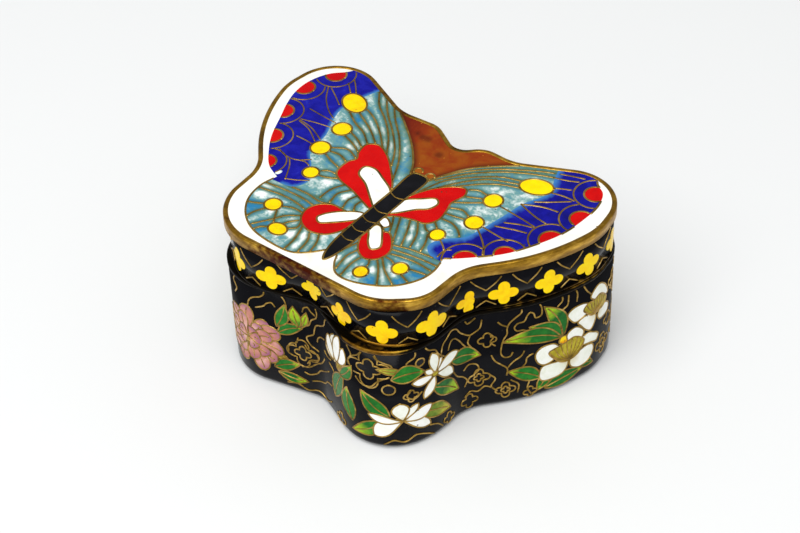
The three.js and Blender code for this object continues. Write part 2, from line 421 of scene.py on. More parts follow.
def soft(points, closed=False):
    """A soft curve through given points, in short even steps."""
    p = np.asarray(points, float)
    if closed:
        p = np.vstack([p[-1:], p, p[:2]])
    else:
        p = np.vstack([2 * p[0] - p[1], p, 2 * p[-1] - p[-2]])
    path = []
    for before, start, end, after in zip(p, p[1:], p[2:], p[3:]):
        gaps = [max(1e-3, np.hypot(*(b - a)) ** 0.5)
                for a, b in ((before, start), (start, end), (end, after))]
        leave = (start - before) / gaps[0] - (end - before) / (gaps[0] + gaps[1]) + (end - start) / gaps[1]
        reach = (end - start) / gaps[1] - (after - start) / (gaps[1] + gaps[2]) + (after - end) / gaps[2]
        steps = max(1, math.ceil(gaps[1] ** 2 / CURVE_STEP))
        t = (np.arange(steps) / steps)[:, None]
        path.append((2 * t**3 - 3 * t**2 + 1) * start + (t**3 - 2 * t**2 + t) * gaps[1] * leave
                    + (3 * t**2 - 2 * t**3) * end + (t**3 - t**2) * gaps[1] * reach)
    return np.vstack(path if closed else [*path, p[-2:-1]])


def inside(points, loop):
    """Which points lie inside a closed outline."""
    x, y = points[:, :1], points[:, 1:]
    ax, ay = loop.T
    bx, by = np.roll(loop, -1, axis=0).T
    rise = np.where(by == ay, 1e-12, by - ay)
    crossed = ((ay > y) != (by > y)) & (x < ax + (y - ay) * (bx - ax) / rise)
    return crossed.sum(axis=1) % 2 == 1


def meet(loop, other):
    """Whether the boxes round two outlines overlap."""
    return bool((loop.min(0) < other.max(0)).all() and (other.min(0) < loop.max(0)).all())


class Panel:
    """One enamelled face. What is laid first lies in front: later cells and wires end at it."""

    def __init__(self, place, edge, wire_width):
        self.place = place  # (across, up, lift) in mm to points of the box
        self.edge = edge  # outline that all enamel stays inside
        self.wire_width = wire_width
        self.origin, self.way = 0, 1  # where motifs start, and -1 for a mirrored one
        self.laid = []
        self.cells = {}
        self.ribbons = []

    def here(self, points):
        return points * (self.way, 1) + (self.origin, 0)

    def cell(self, enamel, loop, shade=None, within=None, wired=True, tone=None, step=FILL_STEP):
        """Fills an outline with enamel, and sets a wire round it."""
        if wired:
            self.wire(np.vstack([loop, loop[:1]]), within)
        loop = self.here(loop)
        limits = [b for b in (self.edge, within) if b is not None and not inside(loop, b).all()]
        fronts = [f for f in self.laid if meet(f, loop)]
        low, high = loop.min(0), loop.max(0)
        across, up = np.meshgrid(np.arange(low[0], high[0], step), np.arange(low[1], high[1], step))
        grid = np.column_stack([across.ravel(), up.ravel()])
        grid = grid[inside(grid, loop)]
        rims = [loop, *fronts, *limits]
        edges, count = [], 0
        for rim in rims:
            edges += [(count + k, count + (k + 1) % len(rim)) for k in range(len(rim))]
            count += len(rim)
        points, _, triangles, *_ = delaunay_2d_cdt(
            [tuple(v) for v in np.vstack([*rims, grid])], edges, [], 0, 1e-4)
        points, triangles = np.array([tuple(v) for v in points]), np.array(triangles)
        middles = points[triangles].mean(axis=1)
        keep = inside(middles, loop)
        for limit in limits:
            keep &= inside(middles, limit)
        for front in fronts:
            keep &= ~inside(middles, front)
        if keep.any():
            used, triangles = np.unique(triangles[keep], return_inverse=True)
            points, triangles = points[used], triangles.reshape(-1, 3)
            drawn = (points - (self.origin, 0)) * (self.way, 1)
            shades = np.zeros(len(points)) if shade is None else np.clip(shade(drawn), 0, 1)
            tones = np.full(len(points), rng.random()) if tone is None else tone(drawn)
            self.cells.setdefault(enamel, []).append((points, triangles, shades, tones))
        self.laid.append(loop)

    def wire(self, path, within=None, without=(), width=None):
        """Lays a wire where nothing in front hides it."""
        path = self.here(path)
        shown = np.ones(len(path), bool)
        for limit in (self.edge, within):
            if limit is not None:
                shown &= inside(path, limit)
        for front in (*self.laid, *without):
            if meet(front, path):
                shown &= ~inside(path, front)
        start = None
        for k, seen in enumerate([*shown, False]):
            if seen and start is None:
                start = k
            elif not seen and start is not None:
                if k - start > 2:
                    self.ribbons.append((path[start:k], width or self.wire_width))
                start = None

    def filled(self, name, enamel):
        """All cells of one enamel as a piece: thin inlays, closed underneath."""
        points, faces, values = [], [], {"shade": [], "tone": []}
        count = 0
        for flat, triangles, shades, tones in self.cells[enamel]:
            top, n = triangles + count, len(flat)
            sides = np.vstack([triangles[:, [0, 1]], triangles[:, [1, 2]], triangles[:, [2, 0]]])
            twins = {tuple(e) for e in sides[:, ::-1].tolist()}
            points += [self.place(flat, CELL_LIFT), self.place(flat, CELL_ROOT)]
            faces += top.tolist() + (top[:, ::-1] + n).tolist()
            faces += [(b + count, a + count, a + count + n, b + count + n)
                      for a, b in sides.tolist() if (a, b) not in twins]
            values["shade"] += [*shades, *shades]
            values["tone"] += [*tones, *tones]
            count += 2 * n
        piece = mesh_piece(name, np.vstack(points), faces, [enamel], values=values)
        piece.data.set_sharp_from_angle(angle=math.radians(40))
        return piece

    def wires(self, name):
        """All wires as one piece: ribbons with a slightly rounded top."""
        ribbon = [(-0.5, -0.4), (-0.5, 0.75), (-0.28, 1), (0.28, 1), (0.5, 0.75), (0.5, -0.4)]
        points, faces, count = [], [], 0
        for path, width in self.ribbons:
            ahead = np.gradient(path, axis=0)
            ahead /= np.maximum(1e-9, np.hypot(*ahead.T))[:, None]
            aside = np.column_stack([-ahead[:, 1], ahead[:, 0]])
            around = [self.place(path + side * width * aside, up * WIRE_TOP) for side, up in ribbon]
            n = len(ribbon)
            points.append(np.stack(around, axis=1).reshape(-1, 3))
            for k in range(len(path) - 1):
                faces += [(count + k * n + a, count + k * n + (a + 1) % n,
                           count + (k + 1) * n + (a + 1) % n, count + (k + 1) * n + a) for a in range(n)]
            faces.append(tuple(count + a for a in reversed(range(n))))
            faces.append(tuple(count + (len(path) - 1) * n + a for a in range(n)))
            count += len(path) * n
        return mesh_piece(name, np.vstack(points), faces, [wire_metal])


def on_lid(flat, lift):
    return np.column_stack([flat, np.full(len(flat), ground + lift)])


def disc(centre, width, height=None, tilt=0):
    """A round or oval outline."""
    height = height or width
    turn = np.linspace(0, 2 * math.pi, max(12, round(width * 7)), endpoint=False)
    across, up = width / 2 * np.cos(turn), height / 2 * np.sin(turn)
    c, s = math.cos(math.radians(tilt)), math.sin(math.radians(tilt))
    return np.column_stack([centre[0] + c * across - s * up, centre[1] + s * across + c * up])


def away(p, path):
    """The distance of points from a path."""
    return np.min(np.hypot(*(p[:, None] - path[None]).transpose(2, 0, 1)), axis=1)


def near_path(path, reach):
    """Shading that fades from a path over a distance in mm."""
    return lambda p: 1 - away(p, path) / reach


lid = Panel(on_lid, crown_belt.ring(-CROWN_BAND), LID_WIRE)

# Body: black glass between two long wires, tapering to the tail, crossed by sagging joints
body = soft([(0.35, 7.4), (0.3, 0), (0.35, -8), (0.45, -14), (0.9, -18.2), (1.7, -20.8), (2.4, -21.7),
             (3.0, -20.6), (3.5, -18), (3.8, -14), (3.9, -8), (3.85, 0), (3.75, 7.4), (2.05, 7.9)],
            closed=True)
for joint in (0.1, -5, -8.3, -11.5, -14.6):
    lid.wire(soft([(0.3, joint + 0.3), (2.1, joint - 0.35), (3.85, joint + 0.1)]), width=JOINT_WIRE)
lid.cell(black_enamel, body)

# Head: two eyes of aventurine in rings
for eye in (0.65, 3.5):
    lid.cell(aventurine_glass, disc((eye, 8.5), 1.8))

# White drops and the red hearts round them, on each forewing and, smaller, on each hindwing. A
# fifth drop fills the gap at the right waist
drops = [
    [(0.2, 0.5), (-3.5, 2.8), (-6.5, 4.1), (-8.4, 3.4), (-8.1, 1.3), (-5, -0.5), (-1.3, -3.5), (0.3, -4.6),
     (0.8, -2)],
    [(3.9, 0.2), (5.9, 2), (8.5, 3.9), (9.6, 3), (9.1, 0.8), (7.4, -0.7), (4.7, -4), (3.8, -4.6), (3.5, -2)],
    [(0.1, -7.4), (-3.2, -9.2), (-5.6, -11.8), (-6.1, -13.4), (-4.9, -14.3), (-3.4, -13.3), (0.3, -9.6),
     (0.8, -8.5)],
    [(4, -10.6), (4.1, -8.6), (5.1, -8.4), (6.9, -10.3), (8.6, -13.2), (7.6, -14.4), (6, -13.3),
     (4.7, -11.5)],
    [(3.8, -6.2), (4.6, -5.9), (6.3, -7.3), (5.7, -8.3), (4.4, -7.9), (3.8, -7.4)],
]
hearts = [
    [(0, 1.2), (-3.5, 5.4), (-7.3, 8.8), (-10.5, 10.2), (-12.4, 9), (-12.1, 6), (-11.2, 4.4), (-12, 2.8),
     (-11.8, -0.8), (-10.3, -2.2), (-5.5, -3.6), (-1.6, -5.1), (0.4, -5.6), (0.9, -2)],
    [(3.9, 1.5), (6.2, 6), (9.5, 9.1), (11.3, 9.5), (12.2, 7.9), (11.5, 4.6), (12, 2.8), (12.5, -0.6),
     (11.3, -2.8), (8, -3.6), (5, -4.8), (3.8, -5.7), (3.5, -2)],
    [(0.4, -7.6), (-2.7, -8.8), (-6.3, -8.9), (-8.6, -10.8), (-9.2, -13.2), (-8, -15.8), (-5, -17.2),
     (-2, -16.4), (-0.2, -14.2), (0.5, -11.5)],
    [(3.6, -11.3), (4.4, -14), (6.2, -16.3), (8.3, -17.1), (10.2, -15.9), (10.9, -13.3), (9.8, -11),
     (7.4, -8.9), (6.2, -9.4), (4, -10)],
]
for drop in drops:
    lid.cell(petal_white, soft(drop, closed=True))
for heart in hearts:
    lid.cell(red_glass, soft(heart, closed=True))

# Yellow dots
for dot in (((-22.75, 17.85), 6.5, 4.7, -30), ((-19.4, 9.9), 4, 4), ((-19, 2.9), 4, 4),
            ((-15.6, -4), 3.3, 3.3), ((21.5, 17.85), 6.6, 4.6, 20), ((17.35, 9.8), 3.7, 3.9),
            ((18.25, 2.65), 3.7, 3.7), ((14.85, -4.1), 3, 3.2), ((-15.15, -15.4), 3.5, 3.4),
            ((-9.85, -20.25), 3.9, 3.2), ((15.15, -15.4), 3.1, 3.2), ((10, -20.3), 2.8, 3)):
    lid.cell(yellow_glass, disc(*dot))

# The wings' margins, from the head to the waist and on round the hindwing
left_front = soft([(0.1, 6.6), (-1.3, 9.3), (-5, 13.75), (-10, 18.1), (-15, 21.8), (-22, 26), (-29, 29)])
left_outer = soft([(-29, 29), (-30.2, 25.6), (-33.2, 22.4), (-34.8, 18.2), (-34.8, 14), (-33.6, 9.9),
                   (-31.75, 5.75), (-29.2, 0.2), (-26.5, -3.75), (-23.4, -7.1), (-20, -8.75)])
left_hind = soft([(-20, -8.75), (-20.8, -12.5), (-20, -17), (-17.3, -20.7), (-13.5, -23), (-8, -23.9),
                  (-3.6, -23.6), (-1.2, -22), (0.9, -19.6), (2, -18)])
right_front = soft([(4, 7), (5.5, 10.5), (8, 14.75), (12, 18.6), (16, 21.6), (23, 25.3), (29, 29)])
right_outer = soft([(29, 29), (30, 25.6), (32.6, 23.6), (33.9, 20), (33.9, 15), (33, 9.5), (30.75, 4),
                    (28, -0.8), (24.75, -4.3), (21.5, -7.3), (19.75, -8.6)])
right_hind = soft([(19.75, -8.6), (20.4, -12.5), (19.75, -15.75), (17, -19.75), (12.5, -22.5), (8.6, -23.5),
                   (6.25, -23), (4.6, -21.2), (3.6, -19.3), (2.2, -18)])
left_wing = np.vstack([left_front[:-1], left_outer[:-1], left_hind[:-1], [(2, 0)]])
right_wing = np.vstack([right_front[:-1], right_outer[:-1], right_hind[:-1], [(2.2, 0)]])

# Red half rounds along each margin, each in a small ring with a gold scallop round it
left_rounds = [((-31.8, 23), 4.3), ((-34.2, 16), 4.3), ((-32.6, 7.6), 4.3), ((-29.1, 0.3), 4.3),
               ((-24.8, -6.4), 4)]
right_rounds = [((31.6, 22.6), 4.3), ((33.5, 15.2), 4.4), ((32.4, 7.2), 4.7), ((28, -1.1), 4.2),
                ((23, -6.5), 4.6)]
SCALLOP = 3.9  # how much wider than its half round a scallop is
for rounds, wing, outward, wire_width in ((left_rounds, left_wing, 180, 0.3),
                                          (right_rounds, right_wing, 0, VEIN_WIRE)):
    for centre, width in rounds:
        lid.cell(red_glass, disc(centre, width), within=wing)
    scallops = [disc(centre, width + SCALLOP, tilt=outward) for centre, width in rounds]
    for scallop, above in zip(scallops, [[], *([s] for s in scallops)]):
        lid.wire(scallop, within=wing, without=above, width=wire_width)

# A pale spot where the last half round meets the corner
spot = (-20.6, -7.6)
lid.cell(turquoise_glass, disc(spot, 1.6, 1, 70), within=left_wing, wired=False,
         tone=lambda p: 1.1 - np.hypot(*(p - spot).T))

# Fans of wire across the cobalt, from where two scallops meet to the dots
fans = [
    [(-27.8, 23.9), (-26.4, 22.6), (-23.2, 19)],
    [(-28, 22.3), (-26.6, 21), (-24, 18.6)],
    [(-30.4, 18.9), (-28.2, 15.6), (-25, 12.7), (-23, 11.6)],
    [(-29.9, 19.1), (-27.6, 17.6), (-24.8, 15.6)],
    [(-28.8, 11.2), (-25.4, 10.9), (-20.8, 10.6)],
    [(-28.1, 7.6), (-25, 8.4), (-21.4, 9)],
    [(-28, 7.3), (-24.6, 6.7), (-20.6, 4.8)],
    [(-28, 7), (-24.8, 6.1), (-21.2, 3.8)],
    [(-25.3, 3), (-23, 3), (-20.4, 2.8)],
    [(-25.2, -2.1), (-23, -2.9), (-20.4, -2.7), (-18, -0.9)],
    [(-20.4, -2.6), (-18.6, -2.2), (-17.2, -2.6)],
    [(-21.9, -3), (-20.4, -4.6), (-19.2, -6.6), (-18.2, -8.5)],
    [(-18.4, -8.3), (-16.4, -7.4), (-14.2, -6)],
    [(27.2, 23.8), (25, 22.8), (22.4, 22)],
    [(27.6, 25.2), (25.6, 24.6), (22.8, 23.6)],
    [(27.4, 21), (26, 20.4), (22.4, 18.4)],
    [(29.6, 18.7), (27, 18.6), (24.4, 18)],
    [(29.3, 18.3), (27.2, 16.6), (25.4, 15.2), (23.6, 14)],
    [(29, 14.3), (26.4, 13.9), (24.2, 13.1), (22, 12)],
    [(29.2, 10.2), (26.6, 10.6), (24.2, 11.3), (22, 12.1)],
    [(28, 8.2), (25.4, 8.6), (22, 9), (17.4, 9.4)],
    [(27.8, 7.9), (25.6, 7.3), (22.6, 5.9)],
    [(27.8, 6), (25.4, 5.4), (21.8, 4.1)],
    [(26.4, 2.1), (24, 2.2), (18.4, 2.8)],
    [(25.2, -3.8), (23.8, -1.9), (21.6, 0.2), (18.4, 2.6)],
    [(18.5, -6.8), (17.4, -5.8), (15, -4.2)],
    [(18.6, -6.6), (18.5, -7.8), (18.6, -9)],
    [(18.6, -6.6), (19, -6.2), (19.6, -5.9)],
]
for fan in fans:
    wing, width = (left_wing, FAN_WIRE) if fan[0][0] < 0 else (right_wing, VEIN_WIRE)
    lid.wire(soft(fan), within=wing, width=width)

# Cobalt borders, running out into the turquoise
left_fade = soft([(-19.6, 27.5), (-22, 22), (-23.6, 15.5), (-22.8, 11.5), (-20.7, 6.5), (-19.8, 1),
                  (-17, -2.2), (-14.3, -6), (-15.5, -9.2), (-20.3, -10)])
right_fade = soft([(21.2, 26.5), (22.8, 22), (24.4, 17.5), (22.4, 12.5), (21.4, 7), (20.2, 1.2), (19.4, -1.5),
                   (16, -5), (15.4, -7.6), (17.4, -9.4), (20.3, -9.5)])
lid.cell(cobalt_glass, np.vstack([left_outer, left_fade[::-1]]), near_path(left_fade[:-6], 0.9),
         within=left_wing, wired=False)
lid.cell(cobalt_glass, np.vstack([right_outer, right_fade[::-1]]), near_path(right_fade[:-6], 1.6),
         within=right_wing, wired=False)

# Veins over the turquoise, from the hearts to the dots and the margins
veins = [
    [(-1.5, 3.3), (-4.2, 8.6), (-8.5, 14.2), (-13.2, 18.8), (-17.6, 24)],
    [(-4.4, 6.6), (-7, 10.9), (-11.2, 15.4), (-15.5, 19.3), (-20.6, 25.4)],
    [(-7.4, 8.9), (-10.4, 13.2), (-14.4, 17.2), (-18.4, 20.3), (-22, 25)],
    [(-9.3, 10), (-12.6, 13.3), (-16, 16), (-19.2, 17.6), (-22, 18.2)],
    [(-11.2, 10.2), (-14.5, 12.8), (-17.5, 14.6), (-22, 17)],
    [(-12.4, 9.2), (-15.3, 11.5), (-18.6, 13), (-23, 16)],
    [(-12.4, 7.5), (-14.8, 9.1), (-17.4, 10.2)],
    [(-12, 6), (-14.4, 7.4), (-18.6, 9)],
    [(-11.3, 4.4), (-14.4, 5.6), (-18, 3.8)],
    [(-12, 2.4), (-14.5, 3.4), (-18, 3)],
    [(-12, 0.2), (-14.6, 1), (-17.2, 2.1)],
    [(-11.2, -1.5), (-13.2, -1.6), (-15.4, -3.6)],
    [(-10.2, -2.3), (-12.4, -3.4), (-15, -4)],
    [(-8, -3), (-9.2, -5.5), (-9.4, -8.8)],
    [(-6, -3.5), (-7.4, -5.8), (-7, -8.8)],
    [(-4, -4.2), (-4.6, -6.2), (-4, -8.6)],
    [(-2.4, -4.8), (-2.5, -6.6), (-1.6, -8.2)],
    [(-20.2, -9), (-16, -9.4), (-12, -9.2), (-8.6, -9.6), (-6.3, -8.9)],
    [(-20.5, -11.3), (-15.5, -10.8), (-11.5, -10.8), (-8.9, -11.2)],
    [(-20.7, -13.2), (-16, -12.4), (-12.5, -12.4), (-9.2, -13)],
    [(-9.1, -14), (-11.5, -14), (-13.4, -14.8)],
    [(-8.8, -14.8), (-11.2, -16.6), (-12.4, -18.6), (-15, -22.4)],
    [(-8, -15.8), (-9.4, -17.4), (-10, -18.6)],
    [(-6.8, -16.6), (-6, -18.6), (-5.4, -21), (-5.2, -23.8)],
    [(-7.6, -16.2), (-7.2, -17.8), (-8.4, -19)],
    [(-4.6, -17.2), (-3.2, -19.6), (-2.7, -22.9)],
    [(-2.7, -16.8), (-1.6, -18.8), (-0.9, -21.6)],
    [(-16.7, -16.2), (-18.6, -17.2), (-19.8, -17.6)],
    [(-15.6, -17.1), (-16.6, -19), (-17, -20.9)],
    [(-13.6, -16), (-12.6, -17.8), (-11.6, -19.4)],
    [(-11.7, -20.8), (-13, -21.8), (-13.5, -23)],
    [(4.6, 3.8), (6.5, 9), (10.3, 13.2), (14.6, 16.4), (18.2, 17.6)],
    [(4.5, 8.6), (7.2, 12.7), (11.5, 17.1), (16, 20.1), (21, 22.8), (27.2, 24.8)],
    [(4.9, 8), (8.4, 12.8), (12.8, 17), (18, 20.2), (23, 22.2), (27.3, 23.4)],
    [(6.6, 6.6), (9.6, 11), (12.8, 14.2), (18.4, 16.6)],
    [(9, 8.7), (12.2, 12), (15.6, 14.4), (19.2, 15.8)],
    [(11.4, 9.4), (13.4, 10.6), (15.6, 10.4)],
    [(12.2, 7.6), (14.4, 8.6), (15.7, 9.2)],
    [(11.6, 5), (14, 6.6), (16.4, 8.4)],
    [(11.7, 3.2), (14.4, 4.2), (16.5, 3.4)],
    [(12.4, 1.6), (14.6, 2), (16.5, 2.4)],
    [(12.5, 0), (15.4, 0), (18, -1.6), (19.6, -4.4)],
    [(12.2, -1.4), (13.2, -2.2), (14.6, -3.6)],
    [(11, -2.9), (12.4, -4.2), (14.6, -4.6)],
    [(9.8, -3.3), (11.8, -6.3), (13, -9.8)],
    [(8.2, -3.5), (9.9, -6.8), (11.4, -10.4)],
    [(6.4, -4.2), (7.8, -7), (9.6, -10.6)],
    [(5.2, -4.8), (6.2, -6.4), (7.4, -8.8)],
    [(13.4, -5), (14.6, -7.4), (15.2, -9.6)],
    [(3.9, -8.4), (5.2, -8.3), (6.4, -9.2)],
    [(10, -11.2), (13, -10.3), (16.4, -9.8), (20, -9.4)],
    [(10.6, -12.2), (13.6, -11.6), (16.8, -11.2), (20.2, -11)],
    [(10.9, -13.4), (13.2, -12.8), (16.4, -12.4), (20.4, -12.7)],
    [(10.8, -14.4), (12.4, -14.6), (13.7, -15.1)],
    [(10.2, -15.8), (12.2, -18), (14.6, -21.4)],
    [(10.7, -15), (13.2, -17.4), (17, -19.8)],
    [(9.2, -16.8), (9.8, -17.8), (10, -18.9)],
    [(7.6, -17), (7.2, -19.4), (7.6, -23.2)],
    [(5.8, -16), (5.2, -18.4), (5.8, -22.3)],
    [(4.6, -14.4), (3.9, -16.4), (3.4, -18.6)],
    [(16.4, -14.6), (18.4, -14.2), (20.3, -13.9)],
    [(16.2, -16.6), (17.8, -17.2), (18.8, -17.6)],
]
for vein in veins:
    lid.wire(soft(vein), within=left_wing if vein[0][0] < 2 else right_wing, width=VEIN_WIRE)

# Pools in the turquoise, (x, y, radius, tone): sky blue where it is low, white where it is high
pools = np.array([
    (-1, 8, 2, -0.6), (-3, 11, 1.5, -0.5), (-19, 13.6, 1.6, -0.6), (-20.5, 22.5, 1.6, -0.5),
    (-18, 7.6, 1.5, -0.4), (-17.5, 22.4, 1.6, 0.8), (-11, 19, 1.2, -0.5), (-13.5, 8, 1.3, 0.7),
    (-14.8, 13, 1.6, 0.5), (-12.6, 14, 1.5, 0.6), (-8.8, 11.4, 1.5, 0.8), (-6, 10, 1.3, 0.6),
    (-16, 5.4, 1.4, -0.4), (-14.2, 6.4, 1.2, 0.8), (-11.4, -4, 1.1, 0.8), (-5.4, -5.6, 1.2, 0.9),
    (-6, -7.6, 1, -0.7), (-3, -6.6, 1, -0.3), (-18.2, -17.6, 1.8, -1), (-12.8, -21.4, 1.7, -1),
    (-10.4, -11, 1.5, -0.6), (-19.4, -11.8, 1.2, 0.8), (-19, -14.4, 1.2, 0.7), (-13.6, -16.6, 1.3, 0.8),
    (-9, -16.6, 1.1, 0.9), (-6.8, -19.8, 1, 0.9), (-4.4, -18.6, 1, 1), (-4.2, -21.8, 1, 0.7),
    (-2, -17.6, 0.9, 0.9), (-1.2, -19.4, 0.8, 0.6), (-12, 0, 1.5, -0.3), (-15, 1, 1.4, -0.4),
    (-8.6, -6, 1.5, -0.4), (6.6, -5.2, 1, -0.7), (9.6, -5.6, 1, 0.9), (11.2, -7.8, 1, 0.7),
    (8.4, -7.4, 1, -0.2), (12.6, -4.4, 0.9, 0.5), (18.6, -14.8, 1.6, -1), (17, -18.2, 1.5, -0.8),
    (12.8, -21.2, 1.3, -0.9), (13.2, -17.4, 1, 0.8), (14, -19.4, 1, 0.6), (15.4, -18, 0.9, 0.6),
    (11.6, -18.6, 1, 0.8), (6.4, -19, 1.2, 0.4), (4.8, -20, 0.9, 0.5), (15.6, -10.2, 1.8, 0.1),
    (16.6, 1.2, 1.1, 0.5), (19.6, -1, 1.2, -0.8), (17.4, 13.6, 1.4, 0.1), (16.8, 17.6, 1.8, -0.1),
    (12.6, 14.6, 1.4, 0.3), (19.6, 8.4, 1.4, -0.1), (20.6, 13, 1.2, 0), (8, 9.6, 1.2, 0.5),
])
# Lines that the turquoise pales away from: the veins, and the seam of the left wings
seam = soft([(-20, -9), (-15, -9.5), (-11.5, -9.2), (-8.4, -8.8)])
lines = np.vstack([*(soft(vein) for vein in veins), seam])


def strokes(centre, count):
    """Uneven tone in strokes that run away from a point, as wet glass is laid between veins."""
    start = rng.uniform(0, 2 * math.pi)

    def tone(p):
        turn, reach = np.arctan2(*(p - centre).T[::-1]), np.hypot(*(p - centre).T)
        across = np.sin(count * turn + np.sin(5 * turn + start))
        return 0.05 + 0.5 * across * np.sin(0.75 * reach + 4 * np.sin(9 * turn + start))

    return tone


def turquoise(centre):
    """Tone of a turquoise wing: pools and strokes, palest halfway between its wires."""
    streaks = strokes(centre, 34)

    def tone(p):
        gaps = np.hypot(*(p[:, None] - pools[None, :, :2]).transpose(2, 0, 1)) / pools[:, 2]
        pooled = (pools[:, 3] * np.exp(-(gaps**2))).sum(axis=1)
        return 0.3 * streaks(p) + 0.8 * pooled + 0.4 * (np.minimum(away(p, lines), 1.1) - 0.65)

    return tone


def greyed(margin, reach, sheen):
    """Shading to grey-green along the wires, and along the wing's front margin."""
    return lambda p: np.maximum(1.05 - away(p, lines) / 0.95, sheen * near_path(margin, reach)(p))


for wing, centre, shade in ((left_wing, (-3, -2), greyed(left_front, 1.6, 0.9)),
                            (right_wing, (6, -2), greyed(right_front, 5, 0.7))):
    lid.cell(turquoise_glass, wing, shade, tone=turquoise(centre), step=SHADED_FILL_STEP)

# Aventurine between the forewings, up to the rim at the head
head = np.array([(0, 6.5), (-30, 30), (30, 30), (4.2, 6.5)], float)
burnt = np.vstack([[(-6.6, 17.6), (-5, 17.2), (-3.8, 17.4), (0.8, 14.6)], left_front, right_front])
lid.cell(aventurine_glass, head, lambda p: 0.8 * near_path(burnt, 1.5)(p),
         tone=lambda p: np.clip((p[:, 0] + 7) / 9, -0.5, 0.35))

for name, enamel in (("turquoise", turquoise_glass), ("cobalt", cobalt_glass), ("red", red_glass),
                     ("yellow", yellow_glass), ("white", petal_white), ("black", black_enamel),
                     ("aventurine", aventurine_glass)):
    lid.filled(f"butterfly_{name}", enamel)
lid.wires("butterfly_wires")


# ---------------------------------------------------------------------------------------------
# Skirt ornament: yellow quatrefoils between thin wire brackets, set in the black enamel of the
# lid's skirt at a nearly even pitch, with small differences from bending each wire by hand.

PITCH = 9.2
FOIL_HEIGHT = 29.1
FOIL_REACH = 2.8
SKIRT_WIRE = 0.26
FAR = 999  # beyond any distance along a wall


def on_wall(belt, wall_face, foot_round=0):
    """Puts (along, height) points on the outside of a wall, and round its foot."""

    def place(flat, lift):
        points, outs = belt.at(flat[:, 0])
        bend = np.clip(foot_round - flat[:, 1], 0, None) / max(foot_round, 1e-6)
        radius = foot_round + wall_face + lift
        out = np.where(bend > 0, radius * np.cos(bend) - foot_round, wall_face + lift)
        height = np.where(bend > 0, foot_round - radius * np.sin(bend), flat[:, 1])
        return np.column_stack([points + out[:, None] * outs, height])

    return place


def band(low, high):
    """The outline of a wall panel that runs all the way round."""
    return np.array([(-FAR, low), (FAR, low), (FAR, high), (-FAR, high)], float)


def cornered(*runs):
    """A wire of soft runs that meet in corners."""
    return np.vstack([soft(run) for run in runs])


def quatrefoil(centre, *lobes, tilt=0):
    """Four lobes of different reach round a centre, from the right one on, and the notches."""
    turn = np.linspace(0, 2 * math.pi, 40, endpoint=False)
    lobe = np.resize(lobes, 4)[np.round(turn / (math.pi / 2)).astype(int) % 4]
    notch = 0.54 * np.mean(lobes)
    reach = notch + (lobe - notch) * np.abs(np.cos(2 * turn))
    turn = turn + math.radians(tilt)
    return np.column_stack([centre[0] + reach * np.cos(turn), centre[1] + reach * np.sin(turn)])


skirt = Panel(on_wall(skirt_belt, skirt_face), band(skirt_foot + TUCK, band_foot - TUCK), SKIRT_WIRE)
# Place, height, lobes to the right, up, left and down, and tilt, of the foils on the tail side
foils = [
    (-17, 29.2, (2.8, 2.8, 2.8, 2.7), 0),
    (-8, 29.2, (3, 2.8, 3.3, 2.7), 0),
    (0.3, 29.5, (2.6, 2, 2.3, 2.6), 14),
    (8.4, 28.7, (3.1, 2.5, 2.6, 2.7), 8),
    (18.3, 29.1, (3, 3, 3.2, 2.7), 0),
    (28.2, 29, (3.7, 3, 3.5, 2.8), -7),
    (37.3, 28.5, (1.1, 2.5, 2.7, 2.8), -4),
    (43.9, 28.9, (2.8, 2.9, 3, 2.6), 0),
    (52.8, 29, (3, 2.9, 2.9, 2.7), -3),
    (61.8, 29, (2.8, 2.8, 3, 2.7), 8),
    (70.4, 29.1, (3, 2.8, 2.9, 2.7), 0),
]
for k in range(14):  # and on round the back
    foils.append((foils[-1][0] + PITCH, FOIL_HEIGHT + rng.normal(0, 0.15),
                  tuple(FOIL_REACH * rng.uniform(0.9, 1.1, 4)), rng.normal(0, 4)))
for at, height, lobes, tilt in foils:
    skirt.cell(yellow_glass, quatrefoil((at, height), *lobes, tilt=tilt), wired=False)
places = [foil[0] for foil in foils] + [foils[0][0] + skirt_belt.length]
for at, following in zip(places, places[1:]):
    middle = (at + following) / 2 + rng.normal(0, 0.15)
    # A bracket hangs from the band and one stands on the edge: heights of end, tip and shoulder
    for end, tip, shoulder in ((33.3, 30.3, 32), (25.8, 27.8, 26.5)):
        halfway = (tip + shoulder) / 2
        skirt.wire(cornered(
            [(middle - 2.9, end), (middle - 1.9, shoulder), (middle - 1, halfway), (middle, tip)],
            [(middle, tip), (middle + 1, halfway), (middle + 1.9, shoulder), (middle + 2.9, end)]))
skirt.filled("skirt_quatrefoils", yellow_glass)
skirt.wires("skirt_wires")


# ---------------------------------------------------------------------------------------------
# Flowers round the base: camellias, star flowers, peonies and buds among leaves, with cloud
# scrolls of bare wire between them in the black enamel. Each group comes again further round.

BASE_WIRE = 0.32
RIB_WIRE = 0.26
PETAL_RIB_WIRE = 0.24
STAMEN_WIRE = 0.2
PANEL_FOOT = 0.5  # the flowers start this far up the rounding of the base's foot

# Leaf glass: transparent green over foil, running into lime at the tips
leaf_glass = glass_enamel("leaf_glass", "#0a4a18", "#176a1e", "#2f8428", 1.6, ripe="#a4c41c")
# Old leaf glass: the same green fired too hot, gone to olive
olive_glass = glass_enamel("olive_glass", "#4a6418", "#6c8426", "#94a238", 1.6, ripe="#c0b83c")
# Peony glass: cloudy salmon pink with mauve where it lies thin
peony_glass = glass_enamel("peony_glass", "#aa6452", "#cc8c7e", "#e8bab0", 1.8, ripe="#9c5c7c")
# Stamen glass: transparent mustard, brownest at the foot of the flower
stamen_glass = glass_enamel("stamen_glass", "#7c6a14", "#a8981e", "#d2c23c", 1.2, ripe="#8a5c10")


